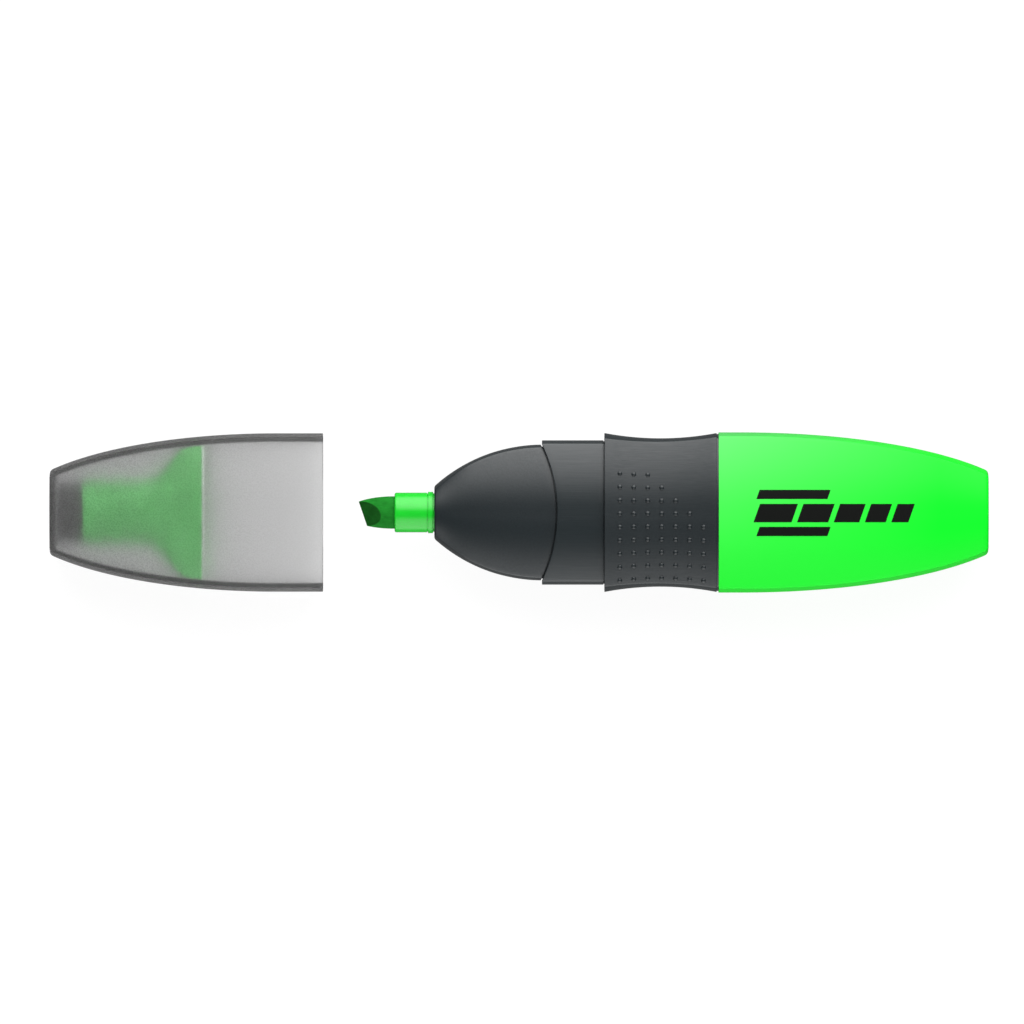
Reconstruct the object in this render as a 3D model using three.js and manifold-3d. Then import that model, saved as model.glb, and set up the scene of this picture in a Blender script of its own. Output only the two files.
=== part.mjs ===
// A flat-bodied highlighter with a chisel nib, lying on one broad face with its cap drawn off.
//
// Millimetres. X runs along the pen, from the cap's end (-X) to the barrel's end (+X), Y runs across its
// broad faces and Z through its thickness. The origin is below the middle of pen and cap, on the surface
// that they lie on. Every piece is shaped around the pen's axis, and the whole is lifted at the end so that
// it rests at Z = 0.

import * as THREE from 'three';
import { mergeVertices } from 'three/addons/utils/BufferGeometryUtils.js';
import Module from 'manifold-3d';

const wasm = await Module();
wasm.setup();

// ---------------------------------------------------------------------------------------------------------
// Driving dimensions
// ---------------------------------------------------------------------------------------------------------

// Lengths along the pen
const HALF_SPAN = 76.7; // middle to the cap's end, and middle to the barrel's end
const CAP_LENGTH = 44.65;
const BARREL_LENGTH = 44.1;
const GRIP_LENGTH = 18.35;
const COLLAR_LENGTH = 10.0; // at its two long edges, where it reaches furthest forward
const NOSE_LENGTH = 17.6; // from the collar's front to the flat around the nib holder
const HOLDER_LENGTH = 6.3; // the part of the holder that stands out of the nose
const NIB_REACH = 5.9; // the part of the nib that stands out of its holder

// Half-widths and the half-thickness of the body
const HALF_THICK = 7.5;
const BARREL_HALF_WIDTH = 13.1;
const CAP_HALF_WIDTH = 12.95;
const GRIP_HALF_WIDTH = 13.0; // at its two ends
const GRIP_WAIST = 0.87; // how much narrower the grip is halfway along
const GRIP_HOLLOW = 0.6; // how much thinner the grip is halfway along

// Cross-section of the body: a flat land, a crown that falls away from it, a long edge and a bulged side
const LAND_SHARE = 0.2; // land's half-width over the section's half-width
const CROWN_SHARE = 0.185; // fall of the crown over the section's half-width
const SIDE_BULGE = 0.7; // how far the side stands out past the long edges
const EDGE_ROUND = 0.25; // length of arc that the rounded long edge takes from crown and side
const SIDE_STEPS = 2;
const CROWN_STEPS = 5;

// Long tapers of cap and barrel: an elliptic narrowing that starts some way behind the mouth
const CAP_TAPER_REACH = 43.7;
const CAP_TAPER_START = 7.65; // from the mouth, in width
const CAP_THIN_START = 18.0; // from the mouth, in thickness
const BARREL_TAPER_REACH = 47.0;
const BARREL_TAPER_START = 3.9; // from the open end, in width
const BARREL_THIN_START = 15.4; // from the open end, in thickness

// Walls, steps and gaps
const CAP_WALL = 1.0;
const CAP_END_WALL = 1.15;
const BARREL_WALL = 1.5;
const CAP_PLAY = 0.15; // between the cap's inside and the collar
const NOSE_STEP = 0.7; // the nose is this much smaller all round than the collar
const GRIP_DEPTH = 1.75; // thickness of the grip at its two ends
const FIT = 0.2; // gap between pieces that are pressed or stuck together
const SEAM = 0.3; // gap that shows between grip and barrel
const CAP_STOP = 0.3; // gap left between the closed cap and the grip
const END_ROUND = 0.5; // rounding at the two flat ends

// Round pieces along the axis
const NIB_RADIUS = 2.65;
const NIB_LENGTH = 32.2;
const HOLDER_RADIUS = 3.25;
const HOLDER_FLANGE_RADIUS = 3.38;
const HOLDER_FLANGE_THICK = 0.85;
const HOLDER_SHANK_RADIUS = 3.15;
const HOLDER_BORE_RADIUS = 2.78;
const HOLDER_SHANK_LENGTH = 6.5;
const ROUND_SEGMENTS = 28;

// Ink reservoir and its film
const RESERVOIR_LENGTH = 63.0;
const RESERVOIR_HALF_WIDTH = 7.7;
const RESERVOIR_HALF_THICK = 3.75;
const FILM_GAP = 0.15;
const FILM_WALL = 0.35;

// Places along X that follow from the lengths
const CAP_END = -HALF_SPAN;
const CAP_MOUTH = CAP_END + CAP_LENGTH;
const BARREL_END = HALF_SPAN;
const BARREL_FRONT = BARREL_END - BARREL_LENGTH;
const GRIP_REAR = BARREL_FRONT - SEAM;
const GRIP_FRONT = GRIP_REAR - GRIP_LENGTH;
const COLLAR_SHOULDER = GRIP_FRONT - FIT;
const COLLAR_FRONT = COLLAR_SHOULDER - COLLAR_LENGTH;
const NOSE_FRONT = COLLAR_FRONT - NOSE_LENGTH;
const HOLDER_SEAT = NOSE_FRONT - FIT;
const HOLDER_FRONT = HOLDER_SEAT - HOLDER_LENGTH;
const NIB_TIP = HOLDER_FRONT - NIB_REACH;
const RESERVOIR_FRONT = -2.0;
const RESERVOIR_REAR = RESERVOIR_FRONT + RESERVOIR_LENGTH;

// Insets from the body's outline, shared by the pieces that fit into each other at the neck
const COLLAR_INSET = CAP_WALL + CAP_PLAY;
const NOSE_INSET = COLLAR_INSET + NOSE_STEP;
const SHANK_INSET = 2.15; // the nose's shank, hidden inside the collar
const NOSE_BORE_INSET = 2.75;
const NECK_BORE_INSET = 2.95;

// ---------------------------------------------------------------------------------------------------------
// Shape tools
// ---------------------------------------------------------------------------------------------------------

// Drop from full size of an arc of the given radius, at a distance along from its summit.
function arcFall(distance, radius) {
  return radius - Math.sqrt(radius ** 2 - distance ** 2);
}

// Full size up to the start of a taper, then an ellipse that would reach zero after `reach`.
function ellipticTaper(distance, start, reach, full) {
  const along = Math.max(0, distance - start) / reach;
  return full * Math.sqrt(1 - along ** 2);
}

function evenly(from, to, steps) {
  return Array.from({ length: steps + 1 }, (_, k) => THREE.MathUtils.lerp(from, to, k / steps));
}

// One quarter of the body's section, from the middle of the side to the middle of the broad face, as [y, z].
// The crown and the side are two arcs. An inset moves both inwards, so the outline stays parallel to itself.
function bodyQuarter(halfWidth, halfThick, inset) {
  const land = LAND_SHARE * halfWidth;
  const fall = CROWN_SHARE * halfWidth;
  const edgeY = halfWidth - SIDE_BULGE;
  const edgeZ = halfThick - fall;
  const fullCrown = ((edgeY - land) ** 2 + fall ** 2) / (2 * fall);
  const fullSide = (edgeZ ** 2 + SIDE_BULGE ** 2) / (2 * SIDE_BULGE);
  const crown = { y: land, z: halfThick - fullCrown, radius: fullCrown - inset };
  const side = { y: halfWidth - fullSide, z: 0, radius: fullSide - inset };

  // The long edge lies where the two arcs cross.
  const apart = Math.hypot(side.y - crown.y, side.z - crown.z);
  const alongY = (side.y - crown.y) / apart;
  const alongZ = (side.z - crown.z) / apart;
  const along = (crown.radius ** 2 - side.radius ** 2 + apart ** 2) / (2 * apart);
  const across = Math.sqrt(crown.radius ** 2 - along ** 2);
  const edge = {
    y: crown.y + along * alongY + across * alongZ,
    z: crown.z + along * alongZ - across * alongY,
  };
  const crownAngle = Math.atan2(edge.y - crown.y, edge.z - crown.z) - EDGE_ROUND / crown.radius;
  const sideAngle = Math.atan2(edge.z - side.z, edge.y - side.y) - EDGE_ROUND / side.radius;

  const sidePoints = evenly(0, sideAngle, SIDE_STEPS)
    .map((a) => [side.y + side.radius * Math.cos(a), side.radius * Math.sin(a)]);
  const crownPoints = evenly(crownAngle, 0, CROWN_STEPS)
    .map((a) => [crown.y + crown.radius * Math.sin(a), crown.z + crown.radius * Math.cos(a)]);
  return [...sidePoints, ...crownPoints, [0, halfThick - inset]];
}

const QUARTER_POINTS = SIDE_STEPS + CROWN_STEPS + 3;

// One quarter of an ellipse, with as many points as the body's quarter.
function ovalQuarter(halfWidth, halfThick) {
  return evenly(0, Math.PI / 2, QUARTER_POINTS - 1)
    .map((a) => [halfWidth * Math.cos(a), halfThick * Math.sin(a)]);
}

// A whole outline at one place along X, from its quarter.
function ring(x, quarter) {
  const back = quarter.slice(0, -1).reverse();
  const outline = [
    ...quarter,
    ...back.map(([y, z]) => [-y, z]),
    ...quarter.slice(1).map(([y, z]) => [-y, -z]),
    ...back.slice(0, -1).map(([y, z]) => [y, -z]),
  ];
  return outline.map(([y, z]) => new THREE.Vector3(x, y, z));
}

function bodyRing(x, halfWidth, halfThick, inset = 0) {
  return ring(x, bodyQuarter(halfWidth, halfThick, inset));
}

function ovalRing(x, halfWidth, halfThick = halfWidth) {
  return ring(x, ovalQuarter(halfWidth, halfThick));
}

function blendRings(from, to, share) {
  return from.map((point, i) => point.clone().lerp(to[i], share));
}

// Skins a row of rings into one closed surface. A tube's last ring joins its first, and any other row is
// closed by a flat face at each end. Outer rings run towards +X and inner rings back towards -X.
function skin(rings, isTube = false) {
  const count = rings[0].length;
  const points = rings.flat();
  const indices = [];
  const bands = isTube ? rings.length : rings.length - 1;
  for (let band = 0; band < bands; band += 1) {
    const here = band * count;
    const next = ((band + 1) % rings.length) * count;
    for (let i = 0; i < count; i += 1) {
      const j = (i + 1) % count;
      indices.push(here + i, here + j, next + j);
      indices.push(here + i, next + j, next + i);
    }
  }
  if (!isTube) {
    const last = (rings.length - 1) * count;
    for (let i = 1; i < count - 1; i += 1) {
      indices.push(0, i + 1, i);
      indices.push(last, last + i, last + i + 1);
    }
  }
  const geometry = new THREE.BufferGeometry().setFromPoints(points);
  geometry.setIndex(indices);
  geometry.computeVertexNormals();
  return geometry;
}

// Turns a profile of [x, radius] points about the pen's axis. It closes on itself or ends on the axis.
function turned(profile, isClosed) {
  const points = profile.map(([x, radius]) => new THREE.Vector2(radius, x));
  if (isClosed) points.push(points[0].clone());
  const geometry = new THREE.LatheGeometry(points, ROUND_SEGMENTS);
  geometry.rotateZ(-Math.PI / 2);
  return geometry;
}

function toSolid(geometry) {
  const bare = geometry.clone();
  bare.deleteAttribute('normal');
  bare.deleteAttribute('uv');
  const merged = mergeVertices(bare);
  return new wasm.Manifold(new wasm.Mesh({
    numProp: 3,
    vertProperties: Float32Array.from(merged.attributes.position.array),
    triVerts: Uint32Array.from(merged.index.array),
  }));
}

function toGeometry(solid) {
  const { vertProperties, triVerts } = solid.getMesh();
  const geometry = new THREE.BufferGeometry();
  geometry.setAttribute('position', new THREE.BufferAttribute(vertProperties, 3));
  geometry.setIndex(new THREE.BufferAttribute(triVerts, 1));
  geometry.computeVertexNormals();
  return geometry;
}

function piece(name, geometry, material) {
  const mesh = new THREE.Mesh(geometry, material);
  mesh.name = name;
  return mesh;
}

// ---------------------------------------------------------------------------------------------------------
// Materials
// ---------------------------------------------------------------------------------------------------------

function plastic(color, roughness) {
  return new THREE.MeshStandardMaterial({ color, roughness, metalness: 0 });
}

function frostedSmoke() {
  const material = plastic(0x8d8b8f, 0.55);
  material.transparent = true;
  material.opacity = 0.45;
  return material;
}

// ---------------------------------------------------------------------------------------------------------
// Cap
// ---------------------------------------------------------------------------------------------------------

function capRing(x, inset) {
  const fromMouth = CAP_MOUTH - x;
  const halfWidth = ellipticTaper(fromMouth, CAP_TAPER_START, CAP_TAPER_REACH, CAP_HALF_WIDTH);
  const halfThick = ellipticTaper(fromMouth, CAP_THIN_START, CAP_TAPER_REACH, HALF_THICK);
  return bodyRing(x, halfWidth, halfThick, inset);
}

// Places along the round that softens a flat end, as [distance from the end, inset].
function endRound(steps) {
  return evenly(0, Math.PI / 2, steps)
    .map((a) => [END_ROUND * (1 - Math.sin(a)), END_ROUND * (1 - Math.cos(a))]);
}

// A solid boss stands on the cap's end wall. Its spigot plugs into the inner cap and its bore clears the nib.
const BOSS_RADIUS = 4.95;
const BOSS_STEP = CAP_END + 5.3;
const SPIGOT_RADIUS = 4.1;
const SPIGOT_FRONT = BOSS_STEP + 1.6;
const BOSS_BORE = 3.1;
const BOSS_BORE_END = CAP_END + 3.5;

function capShell() {
  const innerEnd = CAP_END + CAP_END_WALL;
  const round = endRound(2).reverse();
  const rings = [
    ...round.map(([fromEnd, inset]) => capRing(CAP_END + fromEnd, inset)),
    ...evenly(CAP_END + 4, CAP_MOUTH - CAP_TAPER_START, 6).map((x) => capRing(x, 0)),
    capRing(CAP_MOUTH, 0),
    capRing(CAP_MOUTH, CAP_WALL),
    ...evenly(CAP_MOUTH - CAP_TAPER_START, innerEnd, 7).map((x) => capRing(x, CAP_WALL)),
    ovalRing(innerEnd, BOSS_RADIUS),
    ovalRing(BOSS_STEP, BOSS_RADIUS),
    ovalRing(BOSS_STEP, SPIGOT_RADIUS),
    ovalRing(SPIGOT_FRONT, SPIGOT_RADIUS),
    ovalRing(SPIGOT_FRONT, BOSS_BORE),
    ovalRing(BOSS_BORE_END, BOSS_BORE),
  ];
  return piece('cap_shell', skin(rings), frostedSmoke());
}

// The inner cap is a tube that takes nib and holder, and flares to the cap's wall behind them.
const LINER_RADIUS = 5.3;
const LINER_BORE = SPIGOT_RADIUS + FIT;
const LINER_BACK = BOSS_STEP + FIT;
const LINER_FLARE_FROM = CAP_END + 15.2;
const LINER_FLARE_TO = CAP_END + 22.9;
const LINER_RIM = CAP_END + 25.25;
const LINER_FLARE_WALL = 0.7;

function linerRing(x, tubeRadius, inset) {
  const flare = THREE.MathUtils.smoothstep(x, LINER_FLARE_FROM, LINER_FLARE_TO);
  return blendRings(ovalRing(x, tubeRadius), capRing(x, inset), flare);
}

function innerCap() {
  const outerInset = CAP_WALL + FIT;
  const outer = (x) => linerRing(x, LINER_RADIUS, outerInset);
  const inner = (x) => linerRing(x, LINER_BORE, outerInset + LINER_FLARE_WALL);
  const rings = [
    outer(LINER_BACK),
    ...evenly(LINER_FLARE_FROM, LINER_FLARE_TO, 6).map(outer),
    outer(LINER_RIM),
    inner(LINER_RIM),
    ...evenly(LINER_FLARE_TO, LINER_FLARE_FROM, 6).map(inner),
    inner(LINER_BACK),
  ];
  return piece('inner_cap', skin(rings, true), plastic(0x4fc45c, 0.5));
}

// ---------------------------------------------------------------------------------------------------------
// Nib and its holder
// ---------------------------------------------------------------------------------------------------------

const NIB_NOSE_LENGTH = 5.7; // the rod narrows over this length before its chisel
const NIB_NOSE_REACH = 7.7;
const CHISEL_SLANT = THREE.MathUtils.degToRad(18.9);
const CHISEL_HALF_ANGLE = THREE.MathUtils.degToRad(37.3);
const CHISEL_HALF_EDGE = 0.45; // half of the blunt edge's thickness
const CHISEL_EDGE_MIDDLE = 0.65; // the middle of the slanted edge lies this far behind the tip
const PLENTY = 40; // longer than anything that it has to cut through

function nibRod() {
  const nose = evenly(0, NIB_NOSE_LENGTH, 5).map((fromTip) => {
    const narrowed = ellipticTaper(NIB_NOSE_LENGTH - fromTip, 0, NIB_NOSE_REACH, NIB_RADIUS);
    return [NIB_TIP + fromTip, narrowed];
  });
  const tail = NIB_TIP + NIB_LENGTH;
  return turned([[NIB_TIP, 0], ...nose, [tail, NIB_RADIUS], [tail, 0]], false);
}

// A long wedge, blunt at its edge, that leaves only the chisel when the rod is cut to it.
function chiselWedge() {
  const rise = PLENTY * Math.tan(CHISEL_HALF_ANGLE);
  const wedge = new THREE.Shape();
  wedge.moveTo(0, -CHISEL_HALF_EDGE);
  wedge.lineTo(PLENTY, -CHISEL_HALF_EDGE - rise);
  wedge.lineTo(PLENTY, CHISEL_HALF_EDGE + rise);
  wedge.lineTo(0, CHISEL_HALF_EDGE);
  wedge.closePath();
  const geometry = new THREE.ExtrudeGeometry(wedge, { depth: PLENTY, bevelEnabled: false });
  geometry.translate(0, 0, -PLENTY / 2);
  geometry.rotateX(Math.PI / 2);
  geometry.rotateZ(CHISEL_SLANT);
  geometry.translate(NIB_TIP + CHISEL_EDGE_MIDDLE, 0, 0);
  return geometry;
}

function nib() {
  const chisel = toSolid(nibRod()).intersect(toSolid(chiselWedge()));
  return piece('nib', toGeometry(chisel), plastic(0x27a232, 0.9));
}

function nibHolder() {
  const lip = 0.3;
  const flangeFront = HOLDER_SEAT - HOLDER_FLANGE_THICK;
  const shankEnd = HOLDER_SEAT + HOLDER_SHANK_LENGTH;
  const profile = [
    [HOLDER_FRONT, HOLDER_BORE_RADIUS],
    [HOLDER_FRONT, HOLDER_RADIUS - lip],
    [HOLDER_FRONT + lip, HOLDER_RADIUS],
    [flangeFront, HOLDER_RADIUS],
    [flangeFront, HOLDER_FLANGE_RADIUS],
    [HOLDER_SEAT, HOLDER_FLANGE_RADIUS],
    [HOLDER_SEAT, HOLDER_SHANK_RADIUS],
    [shankEnd, HOLDER_SHANK_RADIUS],
    [shankEnd, HOLDER_BORE_RADIUS],
  ];
  return piece('nib_holder', turned(profile, true), plastic(0x3fd753, 0.25));
}

// ---------------------------------------------------------------------------------------------------------
// Nose cone, collar and grip
// ---------------------------------------------------------------------------------------------------------

const NOSE_PLAN_RADIUS = 26.2; // arc of the nose seen from above
const NOSE_SIDE_RADIUS = 94.0; // arc of the nose seen from the side
const NOSE_FRONT_WALL = 1.55;
const NOSE_FRONT_BORE = 3.25;
const NOSE_FRONT_ROUND = 0.35;
const NOSE_ROUNDED_LENGTH = 6.0; // over this length the front face's rounder outline turns into the body's
const NOSE_ROUNDNESS = 0.5;
const LIP_END = COLLAR_FRONT + 3.6; // the collar's thin lip lies over the nose up to here
const SHANK_END = COLLAR_FRONT + 8.0;

function noseRing(x, inset) {
  const fromCollar = Math.max(0, COLLAR_FRONT - x);
  const halfWidth = CAP_HALF_WIDTH - arcFall(fromCollar, NOSE_PLAN_RADIUS);
  const halfThick = HALF_THICK - arcFall(fromCollar, NOSE_SIDE_RADIUS);
  const ahead = THREE.MathUtils.smoothstep(x, NOSE_FRONT, NOSE_FRONT + NOSE_ROUNDED_LENGTH);
  const flat = bodyRing(x, halfWidth, halfThick, inset);
  const oval = ovalRing(x, halfWidth - inset, halfThick - inset);
  return blendRings(flat, oval, NOSE_ROUNDNESS * (1 - ahead));
}

function noseCone() {
  const noseBack = LIP_END - FIT;
  const innerFront = NOSE_FRONT + NOSE_FRONT_WALL;
  const roundInset = NOSE_INSET + NOSE_FRONT_ROUND;
  const rings = [
    ovalRing(NOSE_FRONT, NOSE_FRONT_BORE),
    noseRing(NOSE_FRONT, roundInset),
    ...evenly(NOSE_FRONT + NOSE_FRONT_ROUND, COLLAR_FRONT, 9).map((x) => noseRing(x, NOSE_INSET)),
    noseRing(noseBack, NOSE_INSET),
    noseRing(noseBack, SHANK_INSET),
    noseRing(SHANK_END - FIT, SHANK_INSET),
    noseRing(SHANK_END - FIT, NOSE_BORE_INSET),
    ...evenly(COLLAR_FRONT, innerFront, 7).map((x) => noseRing(x, NOSE_BORE_INSET)),
    ovalRing(innerFront, NOSE_FRONT_BORE),
  ];
  return piece('nose_cone', skin(rings, true), plastic(0x3f4448, 0.45));
}

const SCALLOP_DEPTH = 2.5; // how far the collar's front is hollowed between its long edges
const SPIGOT_LENGTH = 7.0;

function neckRing(x, inset) {
  return bodyRing(x, CAP_HALF_WIDTH, HALF_THICK, inset);
}

// A round disc whose rim hollows the collar's front edge on both broad faces.
function scallopCutter() {
  const halfChord = CAP_HALF_WIDTH - SIDE_BULGE - COLLAR_INSET;
  const radius = (halfChord ** 2 + SCALLOP_DEPTH ** 2) / (2 * SCALLOP_DEPTH);
  const halfSpread = Math.asin(halfChord / radius) * 1.2;
  const disc = new THREE.Shape();
  disc.absarc(COLLAR_FRONT + SCALLOP_DEPTH - radius, 0, radius, -halfSpread, halfSpread);
  disc.closePath();
  const options = { depth: PLENTY, bevelEnabled: false, curveSegments: 10 };
  return new THREE.ExtrudeGeometry(disc, options).translate(0, 0, -PLENTY / 2);
}

function neckCollar() {
  const spigotEnd = BARREL_FRONT + SPIGOT_LENGTH;
  const coreInset = GRIP_DEPTH + FIT;
  const spigotInset = BARREL_WALL + FIT;
  const rings = [
    neckRing(COLLAR_FRONT, COLLAR_INSET),
    neckRing(COLLAR_SHOULDER, COLLAR_INSET),
    neckRing(COLLAR_SHOULDER, coreInset),
    neckRing(GRIP_REAR + SEAM / 2, coreInset),
    neckRing(GRIP_REAR + SEAM / 2, spigotInset),
    neckRing(spigotEnd, spigotInset),
    neckRing(spigotEnd, NECK_BORE_INSET),
    neckRing(SHANK_END, NECK_BORE_INSET),
    neckRing(SHANK_END, SHANK_INSET - FIT),
    neckRing(LIP_END, SHANK_INSET - FIT),
    neckRing(LIP_END, NOSE_INSET - FIT),
    neckRing(COLLAR_FRONT, NOSE_INSET - FIT),
  ];
  const collar = toSolid(skin(rings, true)).subtract(toSolid(scallopCutter()));
  return piece('neck_collar', toGeometry(collar), plastic(0x4a4f53, 0.5));
}

function gripSleeve() {
  const middle = (GRIP_FRONT + GRIP_REAR) / 2;
  const outer = evenly(GRIP_FRONT, GRIP_REAR, 8).map((x) => {
    const dip = 1 - ((x - middle) / (GRIP_LENGTH / 2)) ** 2;
    return bodyRing(x, GRIP_HALF_WIDTH - GRIP_WAIST * dip, HALF_THICK - GRIP_HOLLOW * dip);
  });
  const inner = [
    bodyRing(GRIP_REAR, GRIP_HALF_WIDTH, HALF_THICK, GRIP_DEPTH),
    bodyRing(GRIP_FRONT, GRIP_HALF_WIDTH, HALF_THICK, GRIP_DEPTH),
  ];
  return piece('grip_sleeve', skin([...outer, ...inner], true), plastic(0x33383b, 0.6));
}

// ---------------------------------------------------------------------------------------------------------
// Barrel and what it holds
// ---------------------------------------------------------------------------------------------------------

const BARREL_END_WALL = 1.5;
const RIB_THICK = 1.2;
const RIB_OFFSET = 3.5; // the two cradle ribs stand this far to each side of the axis
const RIB_FRONT = BARREL_FRONT + 17;
const CRADLE_GAP = 0.3; // between the ribs and the film

function barrelRing(x, inset) {
  const fromFront = x - BARREL_FRONT;
  const halfWidth = ellipticTaper(fromFront, BARREL_TAPER_START, BARREL_TAPER_REACH, BARREL_HALF_WIDTH);
  const halfThick = ellipticTaper(fromFront, BARREL_THIN_START, BARREL_TAPER_REACH, HALF_THICK);
  return bodyRing(x, halfWidth, halfThick, inset);
}

function barrelCup() {
  const taperFrom = BARREL_FRONT + BARREL_TAPER_START;
  const taperTo = BARREL_END - 4;
  const innerEnd = BARREL_END - BARREL_END_WALL;
  return skin([
    ...evenly(innerEnd, taperFrom, 6).map((x) => barrelRing(x, BARREL_WALL)),
    barrelRing(BARREL_FRONT, BARREL_WALL),
    barrelRing(BARREL_FRONT, 0),
    ...evenly(taperFrom, taperTo, 7).map((x) => barrelRing(x, 0)),
    ...endRound(2).map(([fromEnd, inset]) => barrelRing(BARREL_END - fromEnd, inset)),
  ]);
}

// Two ribs on the barrel's inside hold the film and reservoir from above, below and behind.
function cradleRibs() {
  const length = BARREL_END - RIB_FRONT;
  const half = BARREL_WALL / 2;
  const core = toSolid(skin(evenly(RIB_FRONT, BARREL_END - half, 6).map((x) => barrelRing(x, half))));
  const hollowEnds = [RIB_FRONT - 1, RESERVOIR_REAR + CRADLE_GAP];
  const hollow = toSolid(skin(hollowEnds.map((x) => filmRing(x, -CRADLE_GAP))));
  const plates = [-RIB_OFFSET, RIB_OFFSET].map((y) => {
    const plate = new THREE.BoxGeometry(length, RIB_THICK, PLENTY);
    plate.translate(RIB_FRONT + length / 2, y, 0);
    return toSolid(plate);
  });
  return plates[0].add(plates[1]).intersect(core).subtract(hollow);
}

function barrel() {
  const body = toSolid(barrelCup()).add(cradleRibs());
  return piece('barrel', toGeometry(body), plastic(0x2cf043, 0.35));
}

function filmRing(x, inset) {
  const cover = FILM_GAP + FILM_WALL;
  return bodyRing(x, RESERVOIR_HALF_WIDTH + cover, RESERVOIR_HALF_THICK + cover, inset);
}

function reservoirFilm() {
  const rings = [
    filmRing(RESERVOIR_FRONT, 0),
    filmRing(RESERVOIR_REAR, 0),
    filmRing(RESERVOIR_REAR, FILM_WALL),
    filmRing(RESERVOIR_FRONT, FILM_WALL),
  ];
  return piece('reservoir_film', skin(rings, true), plastic(0xe8ecea, 0.3));
}

// The fibre block that holds the ink, with a blind hole where the nib's tail is pushed in.
function inkReservoir() {
  const inset = FILM_WALL + FILM_GAP;
  const holeRadius = NIB_RADIUS + FIT;
  const holeEnd = NIB_TIP + NIB_LENGTH + FIT;
  const rings = [
    ovalRing(holeEnd, holeRadius),
    ovalRing(RESERVOIR_FRONT, holeRadius),
    filmRing(RESERVOIR_FRONT, inset),
    filmRing(RESERVOIR_REAR, inset),
  ];
  return piece('ink_reservoir', skin(rings), plastic(0x5be36a, 0.95));
}

// ---------------------------------------------------------------------------------------------------------
// Assembly
// ---------------------------------------------------------------------------------------------------------

const cap = new THREE.Group();
cap.add(capShell(), innerCap());

const pen = new THREE.Group();
pen.add(nib(), nibHolder(), noseCone(), neckCollar(), gripSleeve());
pen.add(barrel(), reservoirFilm(), inkReservoir());

const lying = new THREE.Group();
lying.position.z = HALF_THICK;
lying.add(cap, pen);

const highlighter = new THREE.Group();
highlighter.add(lying);

export default highlighter;
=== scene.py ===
import math

import bmesh
import bpy
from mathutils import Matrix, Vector


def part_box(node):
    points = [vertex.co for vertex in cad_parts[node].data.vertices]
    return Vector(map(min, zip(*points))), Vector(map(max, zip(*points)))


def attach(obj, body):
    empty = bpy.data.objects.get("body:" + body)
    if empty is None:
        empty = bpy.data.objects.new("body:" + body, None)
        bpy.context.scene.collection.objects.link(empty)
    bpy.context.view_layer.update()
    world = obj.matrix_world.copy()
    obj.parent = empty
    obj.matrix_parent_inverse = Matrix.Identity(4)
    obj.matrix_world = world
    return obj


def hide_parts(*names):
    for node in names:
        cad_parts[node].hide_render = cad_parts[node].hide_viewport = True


# A flat-bodied highlighter with a chisel nib, lying on one broad face with its cap drawn off.
#
# Each visible piece is rebuilt with a fine surface on the place of its CAD node. Shapes are worked out in
# millimetres about the pen's axis, X along the pen, Y across its broad faces and Z through its thickness,
# and become metres in the frame's own axes when their mesh is made.

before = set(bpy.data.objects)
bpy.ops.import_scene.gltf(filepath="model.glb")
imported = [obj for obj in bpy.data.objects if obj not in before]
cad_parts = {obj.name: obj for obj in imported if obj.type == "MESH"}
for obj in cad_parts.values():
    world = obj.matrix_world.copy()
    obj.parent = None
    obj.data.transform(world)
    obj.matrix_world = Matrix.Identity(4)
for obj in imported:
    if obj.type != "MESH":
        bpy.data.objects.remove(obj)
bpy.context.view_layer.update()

MM = 0.001

# -----------------------------------------------------------------------------------------------------------
# Dimensions
# -----------------------------------------------------------------------------------------------------------


def span(node):
    """Where a CAD node starts and ends along X, in millimetres."""
    low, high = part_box(node)
    return low.x / MM, high.x / MM


def half_width_of(node):
    """Half of a CAD node's widest measure across Y, in millimetres."""
    low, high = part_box(node)
    return (high.y - low.y) / 2 / MM


CAP_END, CAP_MOUTH = span("cap_shell")
LINER_BACK, LINER_RIM = span("inner_cap")
HOLDER_FRONT, HOLDER_SHANK_END = span("nib_holder")
NOSE_FRONT, NOSE_BACK = span("nose_cone")
COLLAR_FRONT, SPIGOT_END = span("neck_collar")
GRIP_FRONT, GRIP_REAR = span("grip_sleeve")
BARREL_FRONT, BARREL_END = span("barrel")
NIB_REAR = span("nib")[1]

CAP_HALF_WIDTH = half_width_of("cap_shell")
GRIP_HALF_WIDTH = half_width_of("grip_sleeve")
BARREL_HALF_WIDTH = half_width_of("barrel")
LINER_HALF_WIDTH = half_width_of("inner_cap")
HALF_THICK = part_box("barrel")[1].z / 2 / MM

# Cross-section of the body: a flat land, a crown that falls away from it, a long edge and a bulged side
LAND_SHARE = 0.06
CROWN_SHARE = 0.185
CROWN_POWER = 2.0
SIDE_BULGE = 0.7
EDGE_ROUND = 0.22  # how far the rounded long edge runs over crown and side
SIDE_STEPS = 8
EDGE_STEPS = 5
CROWN_STEPS = 22
LAND_STEPS = 5
CROSSING_STEPS = 30  # halvings that find where crown and side cross

# Tapers of cap and barrel: an elliptic narrowing from some way behind the open end
CAP_TAPER_REACH = 43.7
CAP_TAPER_START = 7.65
CAP_THIN_START = 18.0
BARREL_TAPER_REACH = 47.0
BARREL_TAPER_START = 3.9
BARREL_THIN_START = 15.4

# Walls and gaps
CAP_WALL = 1.0
CAP_END_WALL = 1.15
BARREL_WALL = 1.5
BARREL_END_WALL = 1.5
FIT = 0.2
COLLAR_INSET = 1.15  # from the body's outline
NOSE_INSET = 1.85
SHANK_INSET = 2.15
NOSE_BORE_INSET = 2.75
NECK_BORE_INSET = 2.95
END_ROUND = 0.6
END_FACE_INSET = 2.5  # a closed end is skinned up to here, and capped with one face inside

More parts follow.
